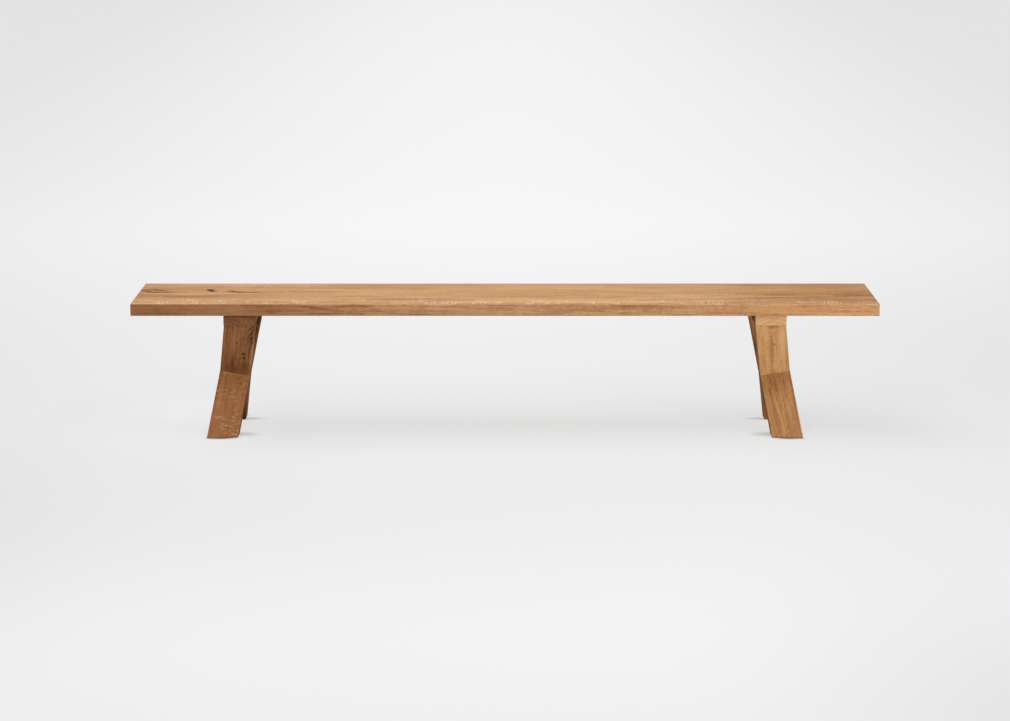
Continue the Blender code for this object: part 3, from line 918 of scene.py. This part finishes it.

# %% [markdown]
# ## The seat
#
# Four staves, glued side by side, run the whole length. Each came from another place in the
# tree, so each has its own heart and its own shade. The front one is cut near the radius: its
# top is strewn with ray flecks, and its front edge shows long lazy arches. The third one holds
# the wild grain of the bench: two cracks by the left end, a knot, and a wide crack that thins
# out to the right.
#
# Noise alone gives a likely board, but not this one. So the streaks and patches that the eye
# knows it by are laid over it, each as a spot with a strength and a colour. Their places
# are measured from the middle of the stave: along it, and towards the back, or up on the edge.
# A few of them are painted light and shade, as noted where they are given.

# %% Front stave
# painted light: the middle of the seat's top is made paler across the staves, as a pool of light from
# above
PAINTED_LIGHT_MIDDLE = (((0.05, 0), 0, 1.5, 0.4), 0.45, "#C99F6B")
# warmer wood and painted shade: the right end of the seat's top is tinted warmer and a little darker
# across the staves
WARM_AND_SHADED_RIGHT = (((1.05, 0), 0, 1.1, 0.4), 1, "#FCF4E2")
FAINT_RAYS = (0.3, "#E6C89C", 0.46)
FRONT_STAVE = {
    "name": "front_stave",
    "node": "seat_stave_1",
    "slot": "seat_oak",
    "heart": (0.17, 0.020),
    "tones": ("#9F6338", "#C5925F", "#D5AB7A"),
    "seed": 3.1,
    "rays": (0.75, "#EBD5B2", 0.42),
    "ray_band": (0.080, -0.030),
    "marks": [(((1.26, 0.020), 0, 0.68, 0.16), 0.62, "#9A5F28")],
    "figure": 1.2,
    # painted shade: the left end of the front edge is darkened, as it lies far from the lamp at the
    # right
    "edge_painted_shade": (((-1.15, 0), 0, 1.80, 0.20), 1, "#D4B8A6"),
    "edge_marks": [
        (((0.05, 0), 0, 1.10, 0.20), 0.25, "#D8AC7E"),
        (((1.05, 0), 0, 1.10, 0.20), 0.35, "#B27A40"),
        (((-0.77, 0), 0, 0.40, 0.20), 0.32, "#84482A"),
        (((-0.545, 0.013), 0, 0.24, 0.020), 0.60, "#7C4226"),
        (((-0.625, 0.006), math.radians(-7), 0.26, 0.016), 0.70, "#84482A"),
        (((-0.60, -0.012), math.radians(-2), 0.20, 0.014), 0.50, "#8F5231"),
        (((-0.47, 0.012), math.radians(-5), 0.10, 0.010), 0.60, "#84482A"),
        (((-0.41, -0.006), math.radians(-6), 0.16, 0.010), 0.55, "#8F5231"),
        (((-0.30, -0.014), math.radians(-2), 0.26, 0.010), 0.45, "#97593A"),
        (((-0.58, 0.015), 0, 0.16, 0.012), 0.45, "#CFA06C"),
        (((-0.44, -0.012), math.radians(-4), 0.18, 0.008), 0.40, "#CFA06C"),
        (((-0.78, -0.006), 0, 0.06, 0.030), 0.45, "#8A4C2C"),
        (((-0.90, 0.004), 0, 0.10, 0.040), 0.45, "#C28C58"),
        (((-1.16, 0.002), 0, 0.05, 0.040), 0.35, "#7E4C2A"),
        (((-1.08, 0.006), 0, 0.04, 0.030), 0.30, "#7E4C2A"),
        (((0.30, -0.004), math.radians(-5), 0.30, 0.010), 0.40, "#A5683F"),
        (((-0.17, 0), 0, 0.50, 0.20), 0.30, "#D8AC7E"),
        (((0.400, 0.012), 0, 0.16, 0.020), 0.75, "#97593A"),
        (((0.270, -0.017), 0, 0.16, 0.012), 0.45, "#97653F"),
        (((0.185, 0.010), 0, 0.10, 0.020), 0.50, "#CFA06C"),
        (((0.46, 0.004), math.radians(-3), 0.10, 0.018), 0.35, "#A5683F"),
        (((0.53, 0.012), 0, 0.05, 0.010), 0.40, "#8D5330"),
        (((0.62, 0), 0, 0.50, 0.20), 0.25, "#D3A878"),
        (((0.70, -0.008), math.radians(2), 0.16, 0.006), 0.45, "#A5683F"),
        (((0.95, -0.004), 0, 0.30, 0.030), 0.30, "#C98F50"),
    ],
}
print("marks on the front edge:", len(FRONT_STAVE["edge_marks"]))

# %% Second and back stave
SECOND_STAVE = {
    "name": "second_stave",
    "node": "seat_stave_2",
    "slot": "seat_oak",
    "heart": (0.02, -0.13),
    "tones": ("#965A2E", "#C08D5A", "#D6AB7A"),
    "seed": 7.7,
    "rays": FAINT_RAYS,
    "figure": 1.9,
    "shades": [(((-0.95, 0), 0, 1.5, 0.4), 1, "#DDCEB9"), WARM_AND_SHADED_RIGHT],
    "marks": [
        PAINTED_LIGHT_MIDDLE,
        (((-1.07, 0.040), 0, 0.60, 0.110), 0.55, "#E6B27E"),
        (((-0.27, -0.030), 0, 0.60, 0.060), 0.35, "#DCC09A"),
    ],
}
BACK_STAVE = {
    "name": "back_stave",
    "node": "seat_stave_4",
    "slot": "seat_oak",
    "heart": (-0.05, -0.16),
    "tones": ("#A4703F", "#C49566", "#D3AC7F"),
    "seed": 19.2,
    "rays": FAINT_RAYS,
    "figure": 1.3,
    "shades": [WARM_AND_SHADED_RIGHT],
    "marks": [
        PAINTED_LIGHT_MIDDLE,
        (((1.10, 0.040), 0, 0.45, 0.050), 0.35, "#9A6A40"),
        (((1.14, 0), 0, 0.44, 0.24), 0.28, "#9A6236"),
    ],
}
print("tones of the second stave:", SECOND_STAVE["tones"])

# %% Third stave
THIRD_STAVE = {
    "name": "third_stave",
    "node": "seat_stave_3",
    "slot": "seat_oak",
    "heart": (-0.03, -0.10),
    "tones": ("#9A5F34", "#BE8A59", "#D0A26F"),
    "seed": 12.4,
    "rays": FAINT_RAYS,
    "figure": 1.3,
    "shades": [WARM_AND_SHADED_RIGHT],
    "marks": [PAINTED_LIGHT_MIDDLE],
    "knots": [(((-1.008, 0.0105), math.radians(-64), 0.105, 0.050), 0.010)],
    "cracks": [
        {
            "path": [
                (-1.252, 0.0144),
                (-1.2255, -0.0052),
                (-1.206, -0.0227),
                (-1.178, -0.0305),
                (-1.120, -0.0335),
            ],
            "width": 0.0110,
            "depth": 0.012,
            "peak": 0.45,
            "stain": 0.055,
        },
        {
            "path": [(-1.230, 0.0348), (-1.210, 0.0320), (-1.191, 0.0183), (-1.169, 0.0065)],
            "width": 0.0110,
            "depth": 0.010,
            "peak": 0.35,
            "stain": 0.050,
        },
        {
            "path": [
                (-0.940, -0.0060),
                (-0.929, -0.0140),
                (-0.914, -0.0225),
                (-0.888, -0.0285),
                (-0.830, -0.0335),
            ],
            "width": 0.0180,
            "depth": 0.014,
            "peak": 0.22,
            "stain": 0.052,
        },
    ],
    "pits": [{"place": (-1.0085, 0.0105), "turn": math.radians(-65), "size": (0.062, 0.008, 0.004)}],
}
print("cracks:", len(THIRD_STAVE["cracks"]))

# %% [markdown]
# ## Dressing a board
#
# The dressed board rides on the bench's one body and takes the place of its imported piece.

# %% Dress the staves
def dress(timber):
    cracks, pits = timber.get("cracks", ()), timber.get("pits", ())
    board = open_board(timber["name"], timber["node"], cracks, pits)
    board.data.materials.clear()
    board.data.materials.append(oiled_oak(timber["node"], timber))
    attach(board, "root")
    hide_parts(timber["node"])
    print(timber["name"], "faces:", len(board.data.polygons))


for timber in (FRONT_STAVE, SECOND_STAVE, THIRD_STAVE, BACK_STAVE):
    dress(timber)

# %% [markdown]
# ## Rails and legs
#
# The rails lie under the seat with their sawn ends to the front, where the rings show as arcs.
# Under the seat the left one has a dark band along its top, painted shadow where the seat shades
# it, so its darkening starts near its top and not at the floor. The right one faces the large
# lamp. A rough sawn end scatters that light, so its gloss is less. The inner sides of the rails
# are painted too: the left one paler, as painted light, the right one darker, as painted shade
# under the seat.
#
# The legs are plainer oak. Each is named for its foot, so its head is at the other side.
# Some marks on the rails and the legs are painted light and shade, where the parts lie behind one
# another under the seat.

# %% Rails
RAIL_RINGS = 0.0120  # wide rings, from a tree that grew fast
LEFT_RAIL = {
    "name": "left_head_rail",
    "node": "left_rail",
    "slot": "rail_oak",
    "heart": (0.05, -0.055),
    "tones": ("#6F4222", "#A46C3D", "#BF8B57"),
    "seed": 23.0,
    "rays": (0.3, "#CDA071", 0.50),
    "ring_width": RAIL_RINGS,
    "figure": 0.7,
    # painted shadow: the top of the rail, under the seat's edge, is darkened as the seat's shadow
    "dirt_and_shade": (0.415, 0.422, 0.5),
    "marks": [
        # painted light: the rail's inner side, under the seat, is made paler
        (((0.050, -0.054), 0, 0.440, 0.036), 0.60, "#C08A58"),
        (((-0.105, -0.055), 0, 0.162, 0.034), 0.70, "#C08A58"),
    ],
}
RIGHT_RAIL = {
    "name": "right_head_rail",
    "node": "right_rail",
    "slot": "rail_oak",
    "heart": (0.0, -0.064),
    "tones": ("#BC8550", "#E8C294", "#F2D6AE"),
    "seed": 29.0,
    "rays": (0.3, "#EFD6AE", 0.50),
    "ring_width": RAIL_RINGS,
    "figure": 0.5,
    "gloss": 0.2,
    "marks": [
        # painted shade: the rail's inner side, under the seat, is made darker
        (((0.050, 0.054), 0, 0.440, 0.036), 0.90, "#5E3517"),
        (((-0.105, 0.055), 0, 0.162, 0.034), 0.95, "#5E3517"),
    ],
}
print("rings of the rails, mm:", RAIL_RINGS * 1000)

# %% Left legs
LEFT_FRONT_LEG = {
    "name": "left_front_leg",
    "node": "left_board_front_foot",
    "slot": "board_oak",
    "heart": (-0.14, 0.020),
    "tones": ("#81461B", "#A4672F", "#B97C41"),
    "seed": 31.0,
    "rays": (0.55, "#CB9150", 0.32),
    "marks": [
        # painted shade: the head of this board, seen between the boards under the seat, is darkened
        (((0.245, 0), 0, 0.30, 0.50), 0.85, "#4A2C18"),
        (((-0.04, -0.046), 0, 0.22, 0.030), 0.35, "#BC7E4A"),
        (((-0.225, 0), 0, 0.22, 0.30), 0.60, "#95561B"),
    ],
}
LEFT_REAR_LEG = {
    "name": "left_rear_leg",
    "node": "left_board_rear_foot",
    "slot": "board_oak",
    "heart": (-0.02, 0.09),
    "tones": ("#86502A", "#BE7E4A", "#D0965F"),
    "seed": 37.0,
    "rays": (0.3, "#D9A66C", 0.50),
    "knots": [
        (((0.211, -0.046), -0.3, 0.030, 0.017), 0.008),
        (((0.190, -0.0475), 0.2, 0.022, 0.014), 0.005),
        (((0.174, 0.002), 0.0, 0.014, 0.010), 0.003),
        (((0.124, -0.0225), 0.0, 0.024, 0.015), 0.005),
        (((0.104, -0.0255), 0.1, 0.026, 0.016), 0.005),
    ],
    "marks": [
        (((0.19, 0.005), 0, 0.20, 0.050), 0.35, "#D29560"),
        (((0.185, 0.0155), math.radians(-3.3), 0.34, 0.030), 0.75, "#C98A56"),
        (((0.135, 0.0410), 0, 0.12, 0.024), 0.50, "#C98A56"),
        (((0.04, 0.000), 0, 0.15, 0.150), 0.50, "#6A3A1E"),
        (((0.065, -0.032), 0, 0.12, 0.045), 0.50, "#4A2A14"),
        (((0.200, -0.043), math.radians(-3), 0.16, 0.030), 0.35, "#5E371C"),
        (((0.2554, -0.0448), math.radians(-10), 0.036, 0.022), 0.85, "#452410"),
        (((0.2554, -0.0455), math.radians(-10), 0.017, 0.011), 0.90, "#B8804E"),
        (((0.2308, -0.0417), math.radians(-26), 0.052, 0.012), 1.0, "#3A2208"),
        (((0.2090, -0.0440), math.radians(10), 0.024, 0.014), 1.0, "#3A2208"),
        # painted light: a paler strip on the inner side, which faces the lamp at the right
        (((0.1700, -0.0540), 0, 0.160, 0.014), 0.60, "#DDAE80"),
        (((0.210, -0.034), math.radians(-10), 0.060, 0.006), 0.7, "#4E2C14"),
        (((0.255, -0.036), math.radians(-18), 0.050, 0.006), 0.7, "#4E2C14"),
        (((0.14, -0.042), math.radians(-4), 0.12, 0.016), 0.50, "#5E371C"),
        # painted shade: the lower end, behind the front board and under the bench, is darkened
        (((-0.19, 0), 0, 0.28, 0.30), 0.55, "#583621"),
        # painted light: a paler strip on the inner side, near the crossing
        (((0.105, -0.0512), 0, 0.20, 0.009), 0.75, "#DCAE82"),
    ],
}
print("knots of the left rear leg:", len(LEFT_REAR_LEG["knots"]))

# %% Right legs
RIGHT_FRONT_LEG = {
    "name": "right_front_leg",
    "node": "right_board_front_foot",
    "slot": "board_oak",
    "heart": (0.03, 0.10),
    "tones": ("#874A20", "#A36C38", "#BC884E"),
    "seed": 41.0,
    "rays": (0.35, "#DDB47E", 0.45),
    "marks": [
        # painted light: the head of this board, seen between the boards under the seat, is made paler
        (((0.200, 0), 0, 0.36, 0.60), 0.90, "#DBA671"),
        (((-0.045, 0.005), 0, 0.13, 0.120), 0.40, "#8A4F24"),
        (((-0.047, 0.020), 0.05, 0.080, 0.009), 0.70, "#6C3B19"),
        (((-0.064, 0.006), -0.05, 0.090, 0.009), 0.65, "#6C3B19"),
        (((-0.084, 0.029), 0.1, 0.050, 0.012), 0.75, "#693817"),
        (((-0.030, -0.012), 0, 0.050, 0.009), 0.50, "#6C3B19"),
        (((-0.060, -0.024), 0.02, 0.120, 0.006), 0.55, "#6C3B19"),
        (((-0.045, -0.040), 0.02, 0.060, 0.008), 0.30, "#6C3B19"),
        (((-0.090, 0.039), 0.02, 0.060, 0.006), 0.35, "#74421F"),
        (((-0.155, 0.013), math.radians(8), 0.120, 0.012), 0.38, "#E2B883"),
        (((-0.225, 0.006), math.radians(2), 0.100, 0.012), 0.36, "#E2B883"),
        (((-0.150, -0.020), math.radians(5), 0.120, 0.010), 0.30, "#DDB27C"),
    ],
}
RIGHT_REAR_LEG = {
    "name": "right_rear_leg",
    "node": "right_board_rear_foot",
    "slot": "board_oak",
    "heart": (0.05, 0.12),
    "tones": ("#B87A40", "#E0AA70", "#EBC18C"),
    "seed": 43.0,
    "rays": (0.3, "#EFCB98", 0.42),
    "figure": 0.75,
    "marks": [
        (((0.150, 0.003), math.radians(-2), 0.330, 0.024), 0.85, "#B3723A"),
        (((0.200, -0.036), 0, 0.24, 0.040), 0.60, "#EFBE86"),
        (((0.256, -0.006), math.radians(90), 0.056, 0.034), 0.80, "#A9662F"),
        (((0.167, -0.0066), 0.3, 0.022, 0.014), 0.80, "#8F4F1C"),
        (((0.020, 0.006), 0, 0.080, 0.040), 0.45, "#B06F38"),
        # painted shade: the lower end, behind the front board and under the bench, is darker and
        # redder
        (((-0.190, 0), 0, 0.380, 0.60), 0.85, "#BE6E36"),
    ],
}

for timber in (LEFT_RAIL, RIGHT_RAIL):
    dress(timber)
for timber in (LEFT_FRONT_LEG, LEFT_REAR_LEG, RIGHT_FRONT_LEG, RIGHT_REAR_LEG):
    dress(timber)

# %% [markdown]
# ## Dowels
#
# Beech dowels pin the rails to the boards. Beech is pale pink and even, strewn with short dark
# spindles, which are its rays. They are sawn and glued in raw, so they have no gloss at all.

# %% Beech dowels
BEECH_SPINDLE = (0.0008, 0.0008, 0.0030)
SPINDLE_RIM = (0.60, 0.70)
BEECH_CLOUD = (0.004, 0.004, 0.060)
BEECH_IOR = 1.5
BEECH_ROUGHNESS = 0.75
BEECH_RELIEF = 0.0002
FAINT_RELIEF = 0.5  # the strength of it, for dowels and fasteners

beech, tree = new_material("raw turned beech")
place = add(tree, "TexCoord", {}).outputs["Object"]
spindle = soft_step(tree, sized_noise(tree, place, BEECH_SPINDLE, detail=1), *SPINDLE_RIM)
cloud = sized_noise(tree, place, BEECH_CLOUD, detail=3)
wood = {"Factor": cloud, "A": linear("#C89C70"), "B": linear("#DFBD93")}
wood = add(tree, "Mix", wood, data_type="RGBA")
wood = add(tree, "Mix", {"Factor": spindle, "A": wood, "B": linear("#A87448")}, data_type="RGBA")
relief = add(tree, "Bump", {"Height": cloud, "Distance": BEECH_RELIEF, "Strength": FAINT_RELIEF})
surface = {"Base Color": wood, "Roughness": BEECH_ROUGHNESS, "Normal": relief, "IOR": BEECH_IOR}
add(tree, "OutputMaterial", {"Surface": add(tree, "BsdfPrincipled", surface)})
print("spindles of the beech, mm:", [size * 1000 for size in BEECH_SPINDLE])

# %% [markdown]
# ## Bolts, washers and inserts
#
# They are plated steel. Turning leaves fine rings round a bolt, stamping leaves a washer
# smooth with a few scuffs, and the yellow chromate on the inserts runs from brass to green.
# Plating is a metal skin, so its colour is its reflection and its roughness is moderate.

# %% Plated steel
TURNING = (0.02, 0.02, 0.00015)  # rings round the axis
SCUFFS = (0.002, 0.0004, 0.002)
PLATING_CLOUD = (0.006, 0.006, 0.006)
CLOUD_RIM = (0.35, 0.70)
PLATING_DULLNESS = 0.25  # how much the marks change the roughness
LEAST_DULL = 0.12  # how far below the plating's roughness they start
PLATING_RELIEF = 0.00005


def plated_steel(name, plating, tint, mark_size, roughness):
    material, tree = new_material(name)
    place = add(tree, "TexCoord", {}).outputs["Object"]
    marks = sized_noise(tree, place, mark_size, detail=3, roughness=0.6)
    cloud = soft_step(tree, sized_noise(tree, place, PLATING_CLOUD), *CLOUD_RIM)
    colour = {"Factor": cloud, "A": linear(plating), "B": linear(tint)}
    colour = add(tree, "Mix", colour, data_type="RGBA")
    dull = {0: marks, 1: PLATING_DULLNESS, 2: roughness - LEAST_DULL}
    dull = add(tree, "Math", dull, operation="MULTIPLY_ADD")
    relief = {"Height": marks, "Distance": PLATING_RELIEF, "Strength": FAINT_RELIEF}
    relief = add(tree, "Bump", relief)
    surface = {"Base Color": colour, "Metallic": 1, "Roughness": dull, "Normal": relief}
    add(tree, "OutputMaterial", {"Surface": add(tree, "BsdfPrincipled", surface)})
    return material


turned_zinc = plated_steel("zinc-plated turned steel", "#B9BDC2", "#A4A9B1", TURNING, roughness=0.35)
stamped_zinc = plated_steel("zinc-plated stamped steel", "#C4C7CA", "#AEB2B8", SCUFFS, roughness=0.40)
yellow_zinc = plated_steel("yellow zinc-plated steel", "#CDB26A", "#B7A868", TURNING, roughness=0.38)
print("marks of turning, mm:", TURNING[2] * 1000)

# %% [markdown]
# ## Dressing the fasteners
#
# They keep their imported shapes, because those already have the form of the real ones. A node's
# name tells its side, its kind and its number, so the kind picks the look.

# %% Dress the fasteners
FASTENER_LOOKS = {
    "dowel": beech,
    "bolt": turned_zinc,
    "washer": stamped_zinc,
    "insert": yellow_zinc,
}

fasteners = [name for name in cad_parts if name.split("_")[1] in FASTENER_LOOKS]
for name in fasteners:
    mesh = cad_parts[name].data
    mesh.materials.clear()
    mesh.materials.append(FASTENER_LOOKS[name.split("_")[1]])
print("fasteners dressed:", len(fasteners))
